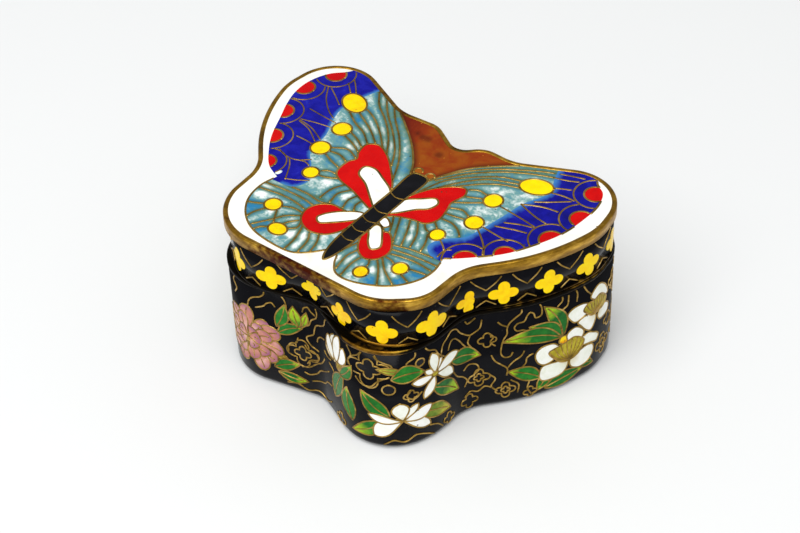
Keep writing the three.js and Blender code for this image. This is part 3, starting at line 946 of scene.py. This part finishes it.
def blade(foot, tip, width, bend=0.0, belly=0.45, blunt=1.0):
    """The outline of a leaf or petal, and its middle line from foot to tip."""
    foot, tip = np.array(foot, float), np.array(tip, float)
    reach = np.hypot(*(tip - foot))
    aside = np.array([foot[1] - tip[1], tip[0] - foot[0]]) / reach
    t = np.linspace(0, 1, max(9, round(reach / 0.35)))[:, None]
    rib = foot + (tip - foot) * t + aside * bend * 4 * t * (1 - t)
    half = width / 2 * np.abs(np.sin(math.pi * t ** (math.log(0.5) / math.log(belly)))) ** blunt
    return np.vstack([rib + half * aside, (rib - half * aside)[-2:0:-1]]), rib


def leaf(foot, tip, width, bend=0.0, glass=leaf_glass, lime=0.45):
    outline, rib = blade(foot, tip, width, bend)
    wall.wire(rib[1:-3], width=RIB_WIRE)
    wall.cell(glass, outline, lambda p: 1.1 - np.hypot(*(p - rib[-3]).T) / (lime * math.dist(foot, tip)))


def petal(foot, tip, width, bend=0.0, glass=petal_white, blunt=0.6, belly=0.55):
    outline, _ = blade(foot, tip, width, bend, belly, blunt)
    wall.cell(glass, outline, lambda p: 0.9 - np.hypot(*(p - foot).T) / 1.6)


def camellia(foot, heart, petals):
    """A flower from the side: a fan of mustard stamens and broad white petals round it."""
    heart = soft(heart, closed=True)
    for tip in heart[:: max(1, len(heart) // 14)]:
        if tip[1] > foot[1] + 2:
            sagging = (foot + tip) / 2 + (0.12 * (tip[0] - foot[0]), -0.3)
            wall.wire(soft([foot, sagging, tip]), width=STAMEN_WIRE)
    wall.cell(stamen_glass, heart, lambda p: 0.75 - np.hypot(*(p - foot).T) / 4)
    for outline in petals:
        outline = soft(outline, closed=True)
        wall.cell(petal_white, outline, lambda p: 0.7 - np.hypot(*(p - foot).T) / 5)


def peony(centre):
    """A full flower: rings of long ruffled petals, the inner ones on top, mauve at their tips."""
    for ring, (reach, count, width) in enumerate(((3.2, 5, 2.9), (5.7, 8, 3.3), (7.9, 11, 3.9))):
        for k in range(count):
            lean = 2 * math.pi * (k + 0.4 * ring) / count + 0.15 * math.sin(5 * k)
            way = np.array([math.cos(lean), math.sin(lean)])
            far = reach * (1 + 0.06 * math.sin(3 * k + ring))
            outline, rib = blade(centre, centre + way * far, width, 0.5 * (-1) ** k, belly=0.7, blunt=0.55)
            wall.wire(rib[len(rib) // 2 : -2], width=PETAL_RIB_WIRE)
            wall.cell(peony_glass, outline,
                      lambda p: np.minimum(0.7, 0.1 + (np.hypot(*(p - centre).T) - far + 2) / 2.6))


def cloud(centre, width):
    """A closed cloud scroll of bare wire."""
    loop = quatrefoil(centre, width / 2)
    wall.wire(np.vstack([loop, loop[:1]]))


def peony_spray():
    peony(np.array([-15.2, 10.8]))
    leaf((-8.3, 16.4), (-6.2, 22.6), 2.7, -0.4, lime=0.1)
    leaf((-3.4, 17.8), (-4.4, 22.9), 2.6, 0.3, lime=0.9)
    leaf((-3.0, 18.0), (-1.6, 22.3), 1.6, -0.2, lime=0.9)
    leaf((-8.2, 14.6), (-2.6, 17.9), 2.6, 0.5, lime=0.1)
    leaf((-9.6, 5.2), (-3.8, 7.8), 2.8, 0.3, lime=0.2)
    leaf((-8.8, 4.2), (-2.2, 3.9), 2.4, -0.5, lime=0.35)
    leaf((-8.8, 8.2), (-6.4, 8.6), 1.6, 0, stamen_glass)
    wall.cell(black_enamel, quatrefoil((-3, 11.2), 1.8))
    for scroll in (
        [(-10.6, 25), (-10.4, 24), (-11.2, 22.9), (-13, 22), (-14, 20.9), (-14.6, 18.8)],
        [(-8.2, 21.3), (-9, 22.1), (-10.2, 21.4), (-10.7, 20.7), (-12.6, 19.6)],
        [(-7.2, 25), (-6.2, 24), (-5.8, 22.4), (-6, 21)],
        [(-5.4, 19.2), (-6.4, 17.4), (-8, 15.9)],
        [(0.3, 25), (0.9, 23.4), (0.6, 22), (-0.6, 20.8), (-1.2, 19.3), (-2.4, 18.6)],
        [(-2.4, 22.2), (-2, 23.4), (-1.2, 23.8), (-0.5, 22.9), (0.4, 22.4)],
        [(5, 25), (3.9, 24), (3.4, 22.4), (2, 21), (0.5, 20), (0, 18.7), (-0.3, 17.3), (-1.9, 15.9),
         (-1.5, 14.7), (-0.7, 13.8), (0.8, 13.4)],
        [(0.5, 15.8), (0.8, 17), (1.6, 17.8), (3, 18.3)],
        [(-6.1, 10.6), (-6, 12.2), (-5.4, 13.1), (-4.3, 13.5), (-3.8, 15)],
        [(-2.4, 13.7), (-1.8, 12.7), (-0.8, 12.2), (0.5, 12.2), (0.6, 11.2), (-0.2, 10.5), (-1.3, 10.1),
         (-2.2, 8.8)],
        [(2.6, 13), (1.4, 10.9), (0, 9.7), (-1.7, 8.1), (-3.4, 7.6)],
        [(4.2, 11), (2.2, 9.3), (0.8, 8.4), (-0.2, 7), (-2, 6), (-3, 6.3)],
        [(5.2, 8), (3.2, 7.4), (2, 6), (0.6, 5.4), (-1.4, 4.4)],
        [(-17.6, 25), (-18.4, 23.4), (-17.4, 22), (-18.2, 20.4)],
        [(-7, 2), (-4.6, 2.4), (-2.6, 1.6), (0, 2.4), (2.4, 1.8), (4.4, 3)],
    ):
        wall.wire(soft(scroll))
    cloud((-3, 11.2), 7)


def white_bud():
    for foot, tip, width, bend in (((7.6, 16.6), (9.4, 24.4), 2.8, 0.4), ((8.4, 17), (10.8, 22.4), 2.4, -0.6),
                                   ((6.6, 16.2), (5, 21.6), 2.6, 0.5), ((6.2, 16), (3.9, 18.8), 2, 0.2),
                                   ((7, 16), (7.2, 23.2), 3.2, 0.2)):
        petal(foot, tip, width, bend, belly=0.5)
    for stamen in ((8.1, 16.8), (9, 17.2), (9.8, 17.6)):
        petal((8.4, 14.9), stamen, 0.9, 0, stamen_glass)
    leaf((9, 14.4), (12.9, 19.6), 2.6, -0.5, lime=0.2)
    leaf((6.4, 6.6), (10.4, 15.6), 3.8, 0.6, lime=0.15)
    leaf((12.4, 5), (11.2, 13), 4, 0.6, lime=0.15)
    for scroll in ([(12, 24.4), (13, 22.6), (12.2, 21)], [(4.4, 13.8), (6.2, 13), (6.8, 11.6)],
                   [(2.6, 15.4), (3.6, 14.8), (5.4, 15)]):
        wall.wire(soft(scroll))
    cloud((8.4, 2.2), 3.4)


def star_flowers():
    centre = (29.9, 16.6)
    wall.cell(stamen_glass, disc(centre, 1.5, 1.2))
    for tip, width, bend in (((29.3, 22.2), 2.3, -0.2), ((31.6, 19.9), 1.6, 0.2), ((36.2, 18), 2.8, 0.3),
                             ((34.8, 13.4), 2.5, 0.4), ((27.3, 11.6), 2.3, 0.3), ((24.8, 16.6), 2.1, 0.3),
                             ((27.6, 18.6), 1.4, 0)):
        petal(centre, tip, width, bend, belly=0.6, blunt=0.75)
    for tip, width, bend in (((22.3, 12), 3.4, 0.1), ((16.2, 8.9), 2.0, 0.4), ((29, 9.4), 2.8, -0.3),
                             ((17.2, 3.6), 3.8, -0.6), ((28.6, 4.4), 2.5, 0.3), ((26, 11.2), 1.7, 0.1)):
        petal((22.9, 7.4), tip, width, bend, belly=0.62, blunt=0.7)
    wall.cell(aventurine_glass, disc((21, 7), 3.2, 1.8, 20))
    leaf((20.9, 18.4), (27.6, 18.6), 4.3, 0.9, lime=0.1)
    leaf((23, 20.2), (18.2, 20.9), 1.7, 0, olive_glass)
    leaf((34.2, 16.6), (41, 14.4), 3.8, 0.3, lime=0.2)
    leaf((29.3, 13.4), (36.2, 8), 3.6, 0.4, lime=0.55)
    leaf((20.4, 8.8), (14.8, 14.6), 3.8, 0.6, lime=0.1)
    leaf((26.2, 8.2), (33.9, 4.9), 3.6, 0.6, olive_glass)
    leaf((19.2, 7.4), (12.3, 2.9), 3.4, 0.5, lime=0.5)
    for centre, width in (((20.4, 15.8), 2.5), ((26.6, 21.4), 1.9)):
        wall.cell(black_enamel, disc(centre, width))
    wall.cell(black_enamel, quatrefoil((16.7, 20.6), 2.5))
    cloud((16.7, 20.4), 9.2)
    for scroll in (
        [(17.6, 25), (18.2, 23.6), (19.4, 22.8), (21, 22), (21.2, 21.4)],
        [(15.6, 25), (14.6, 23.4), (13, 22.2), (12.2, 20.6), (13, 19)],
        [(13.8, 17.6), (15.2, 16.2), (17, 16.2), (18.2, 17.6), (19.8, 18.8)],
        [(25.7, 25), (25.5, 23.2), (24, 22.2), (23.7, 21.5)],
        [(27.5, 25), (28.4, 23.5), (30, 22.6), (30.7, 21.2), (32.3, 19.4)],
        [(31.5, 20.6), (32, 22.4), (33.2, 23.3), (34.4, 24.2), (35.7, 23.7), (36.8, 22), (38.9, 20.3),
         (39.8, 20.6), (40.8, 21.4), (41.2, 23.4)],
        [(33.4, 20), (34.2, 21.6), (35, 21.8), (36.2, 20.6), (37.4, 18.6), (38.2, 17.4)],
        [(37.6, 25), (38.4, 23.4), (40, 24.2)],
        [(38.9, 20.2), (38.4, 18.6), (39.2, 17)],
        [(34.9, 13.2), (35.9, 11.4), (37.4, 10.2), (38.2, 8.8), (37.6, 7.4)],
        [(37.4, 11.8), (38.6, 12.8), (40.2, 12.2), (40.6, 10.6), (39.4, 9.6)],
        [(26.9, 13.8), (25.2, 12.6), (23.8, 13.6), (24.6, 15)],
        [(19, 1.2), (21, 2.4), (23.2, 1.8), (25.4, 3), (27.6, 2.2), (29.4, 1)],
        [(28.4, 4), (30.2, 3.2), (31.6, 1.6)],
        [(37.6, 4.6), (39, 5.6), (40.4, 5), (41.8, 6), (43.2, 5.4)],
    ):
        wall.wire(soft(scroll))
    for place, width in (((40.6, 8.6), 4.4), ((40.6, 8.6), 2), ((38.6, 3.2), 3.6), ((33.4, 2.4), 3),
                         ((42.2, 18), 3.6), ((24.6, 13.6), 3)):
        cloud(place, width)


def camellias():
    camellia(np.array([59.2, 7.1]),
             [(54.6, 11), (56.5, 11.7), (58.5, 12.1), (60.1, 12.5), (61.6, 11.7), (62.7, 10.4), (62.3, 9),
              (61.3, 7.6), (59.3, 6.9), (57.4, 7.3), (55.9, 8.8)],
             [[(51.8, 11.8), (53, 13), (55.2, 13.1), (56.3, 12.4), (57, 10.6), (55.4, 8.6), (53.4, 8.3),
               (52.1, 9.6)],
              [(53.2, 7.8), (55.2, 8), (57.2, 7.6), (58.9, 7), (58.8, 5.6), (57.8, 4.3), (55.8, 3.8),
               (53.2, 4.2), (52.6, 5.6)],
              [(59.5, 7), (61.6, 8), (63.6, 8.4), (65.2, 7.6), (65.3, 5.8), (64, 4.2), (61.8, 3.7), (60, 4.6),
               (59.4, 5.6)],
              [(61.8, 10.6), (63.6, 11.6), (65.2, 10.8), (66.9, 9.2), (66.2, 8), (64.4, 8.6), (62.4, 9.2)],
              [(58.6, 14), (60.3, 14.9), (61.8, 14), (62.6, 12.6), (61.8, 11.2), (59.4, 11.4), (58.6, 12.6)]])
    wall.cell(yellow_glass, soft([(56.8, 12.6), (57.2, 13.9), (58.2, 13.9), (58.8, 12.6), (58.2, 11.9)],
                                 closed=True),
              lambda p: (13.2 - p[:, 1]) / 1.2)
    camellia(np.array([66, 15.6]),
             [(62.3, 18.1), (63.3, 19.3), (65, 19.2), (66.6, 19.6), (68.2, 18.6), (69.5, 16.8), (68.6, 15.6),
              (66.2, 15.5), (64.4, 15.7), (63.1, 17)],
             [[(58.5, 18.9), (59.6, 19.9), (61.6, 20.1), (63.3, 19.4), (63.6, 17.6), (62.4, 16.6),
               (60.4, 16.1), (59.2, 17.3)],
              [(61, 15.7), (62.4, 16.4), (64.4, 16), (65.7, 15), (65.2, 13), (64.2, 12), (62.9, 12.9),
               (61.9, 14.3)],
              [(66.3, 14.6), (67.4, 15.7), (69.2, 15.6), (70.7, 14.2), (70.2, 12.6), (68.2, 12.5),
               (66.8, 13.1)],
              [(64, 20.4), (65, 21.9), (66.4, 22.4), (68, 21.4), (69.4, 19.6), (70, 17.8), (68.4, 17.6),
               (66, 18.8)]])
    leaf((57.2, 14), (45.1, 16.7), 3.8, -1.4, lime=0.42)
    leaf((57.4, 14), (50.3, 19.2), 3.6, -0.8, lime=0.1)
    leaf((57.6, 14), (53.3, 23.4), 3.6, -1, lime=0.42)
    leaf((53, 5.2), (46.2, 8.8), 3.4, -0.5, lime=0.25)
    leaf((54.4, 5.6), (52.2, 2), 2.6, 0.2, lime=0.1)
    leaf((53.8, 2), (62.6, 3.2), 3.4, 0.3, lime=0.1)
    leaf((61, 4.8), (65.4, 2.8), 2.2, 0.2, lime=0.1)
    for scroll in (
        [(48.6, 25), (48.8, 23.6), (47.6, 22.5), (46.5, 21.5), (46, 20.2), (46, 18.8), (45.3, 17.4),
         (44.9, 15.4), (44.9, 13.8), (45.5, 12.9), (46.6, 12.8), (47.2, 13.8)],
        [(52.1, 25), (52.8, 23.4), (52.7, 21.5), (51.6, 21.3), (51.2, 22.5), (50.5, 23), (49.9, 22.4),
         (49.3, 21.1), (48, 20.9), (47.4, 20), (47.9, 19.1), (49.4, 18.9), (50, 18), (50, 17.2)],
        [(44.2, 22.2), (45, 21.3), (46, 20.7)],
        [(43, 13.9), (43.7, 12.3), (45, 11), (46.1, 9.8), (46, 8)],
        [(49.5, 13.5), (48.8, 12.3), (47.2, 11.2), (46.2, 10)],
        [(51.3, 12.2), (50, 11.5), (49.8, 10.2), (48.9, 9.2)],
        [(57, 25), (57.2, 23.3), (56.1, 22.2)],
        [(58.6, 24), (58.3, 21.5), (57, 20.8)],
        [(60, 25), (60.6, 23.4), (60.5, 21.4)],
        [(61.8, 25), (62.9, 22.8), (64, 21.4)],
        [(46.8, 6.6), (48.4, 5), (48.2, 2.8)],
        [(50.6, 5.2), (50.2, 3.4), (51, 1.6)],
        [(42.4, 19.8), (43.4, 18.6), (42.8, 17.4), (43.8, 16.2)],
        [(42.6, 9), (43.8, 7.6), (43, 5.8), (44.2, 4.2)],
    ):
        wall.wire(soft(scroll))
    for place, width in (((45.8, 4.2), 4), ((45.8, 4.2), 1.8), ((50.8, 2.2), 2.8), ((68.6, 5.4), 5),
                         ((68.6, 5.4), 2.4), ((70.6, 10.4), 3.4), ((72.4, 19.4), 4.4)):
        cloud(place, width)


wall = Panel(on_wall(base_belt, face, BASE_ROUND), band(PANEL_FOOT, base_top - TUCK), BASE_WIRE)
# Each group with the place along the wall that it is drawn from, and -1 where it is mirrored
for draw, origin, way in ((peony_spray, 0, 1), (white_bud, 0, 1), (star_flowers, 0, 1), (camellias, 0, 1),
                          (star_flowers, 115, -1), (peony_spray, 109, -1), (camellias, 201, -1),
                          (white_bud, 156, 1), (star_flowers, 213, -1)):
    wall.origin, wall.way = origin, way
    draw()
for name, enamel in (("leaves", leaf_glass), ("old_leaves", olive_glass), ("peonies", peony_glass),
                     ("petals", petal_white), ("stamens", stamen_glass), ("buds", yellow_glass),
                     ("brown_hearts", aventurine_glass), ("clouds", black_enamel)):
    wall.filled(f"base_{name}", enamel)
wall.wires("base_wires")


# ---------------------------------------------------------------------------------------------
# Brass edges of the lid: a thin strip under the skirt and the crown band round the top, a
# hand-bent strip with its corner rubbed round. Flux has left red-brown scale near the tail.

CROWN_ROUND = 0.4
FOOT_EDGE_HEIGHT = 0.6
FOOT_EDGE_PROUD = 0.1
FOOT_EDGE_EASE = 0.15

# Crown brass: golden on the side, browner where enamel dirt was never polished off
crown_brass = soldered_brass("worn_crown_brass", "#604616", "#9e7622", "#d6aa44")

foot_edge_rings = [
    (skirt_belt, skirt_inside, skirt_foot),
    (skirt_belt, skirt_inside, skirt_foot - FOOT_EDGE_HEIGHT),
    (skirt_belt, -SKIRT_SET_BACK, skirt_foot - FOOT_EDGE_HEIGHT),
    (skirt_belt, -SKIRT_SET_BACK + FOOT_EDGE_PROUD, skirt_foot - FOOT_EDGE_HEIGHT + FOOT_EDGE_EASE),
    (skirt_belt, -SKIRT_SET_BACK + FOOT_EDGE_PROUD, skirt_foot - FOOT_EDGE_EASE),
    (skirt_belt, -SKIRT_SET_BACK, skirt_foot),
]
# The foot strip takes the same painted shade of the seam: near black, but for the same lighter places
points, faces = sweep(foot_edge_rings, capped=False)
foot_edge = mesh_piece("lid_foot_strip", points, faces, [seam_shaded_brass],
                       values=tarnish_and_shade(skirt_belt, seam_lighter_places, [1.1, 1.1, 0.8, 0.8, 1.1, 1.1]))
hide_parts("lid_foot_edge")

crown_rings = [
    (crown_belt, -CROWN_BAND, band_foot),
    (crown_belt, -EASE, band_foot),
    (crown_belt, 0, band_foot + EASE),
    *quarter(crown_belt, -CROWN_ROUND, lid_top - CROWN_ROUND, CROWN_ROUND, 0, 90),
    (crown_belt, -CROWN_BAND + EASE, lid_top - LAP),
    (crown_belt, -CROWN_BAND, lid_top - EASE),
]
points, faces = sweep(crown_rings, capped=False)
scale_places = [(-14, 11, 0.62), (7, 4, 0.5), (-32, 5, 0.3), (118, 12, 0.4)]
scale_levels = [0.1] * 3 + [0] * (len(crown_rings) - 3)  # a little more along the lower edge
crown_band = mesh_piece("crown_band", points, faces, [crown_brass],
                        values=tarnish_and_shade(crown_belt, scale_places, scale_levels))
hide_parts("lid_crown_band")


# ---------------------------------------------------------------------------------------------
# Floor, light and camera: a sheet of white paper under the box, one large softbox that hangs
# overhead and a little in front, and pale walls all round that fill the shadows.

PAPER = 3.0  # half the width of the floor, in metres, so that no edge of it shows
LENS = 87.87
CAMERA_PLACE = (182.954, -216.0, 269.906)

floor_mesh = bpy.data.meshes.new("floor")
floor_mesh.from_pydata([(-PAPER, -PAPER, 0), (PAPER, -PAPER, 0), (PAPER, PAPER, 0), (-PAPER, PAPER, 0)],
                       [], [(0, 1, 2, 3)])
floor_piece = bpy.data.objects.new("floor", floor_mesh)
bpy.context.scene.collection.objects.link(floor_piece)
# White paper: matt, so that it takes a soft grey shadow
paper, output = new_material("white_paper")
sheet = add(paper, "BsdfPrincipled", {"Base Color": linear("#e7e8e8"), "Roughness": 0.9})
paper.node_tree.links.new(sheet.outputs[0], output.inputs["Surface"])
floor_mesh.materials.append(paper)

world = bpy.data.worlds.new("studio")
world.use_nodes = True
world.node_tree.nodes["Background"].inputs["Color"].default_value = linear("#f8f9f9")
world.node_tree.nodes["Background"].inputs["Strength"].default_value = 0.52
bpy.context.scene.world = world
softbox = bpy.data.lights.new("overhead_softbox", "AREA")
softbox.size, softbox.energy = 0.9, 9.5
lamp = bpy.data.objects.new("overhead_softbox", softbox)
lamp.location = (0.12, -0.4, 0.85)
lamp.rotation_mode = "QUATERNION"
lamp.rotation_quaternion = lamp.location.to_track_quat("Z", "Y")
bpy.context.scene.collection.objects.link(lamp)

azimuth, elevation, roll = (math.radians(a) for a in (39.913, 41.712, -2.267))
forward = np.array([-math.sin(azimuth) * math.cos(elevation), math.cos(azimuth) * math.cos(elevation),
                    -math.sin(elevation)])
level = np.array([math.cos(azimuth), math.sin(azimuth), 0])
upward = np.cross(level, forward)
right = math.cos(roll) * level + math.sin(roll) * upward
top = math.cos(roll) * upward - math.sin(roll) * level
place = np.array(CAMERA_PLACE) * MM
camera = bpy.data.objects.new("camera", bpy.data.cameras.new("camera"))
camera.data.lens = LENS
camera.data.clip_start = 0.01
camera.matrix_world = Matrix([*np.column_stack([right, top, -forward, place]).tolist(), [0, 0, 0, 1]])
bpy.context.scene.collection.objects.link(camera)
bpy.context.scene.camera = camera
bpy.context.scene.view_settings.view_transform = "Standard"
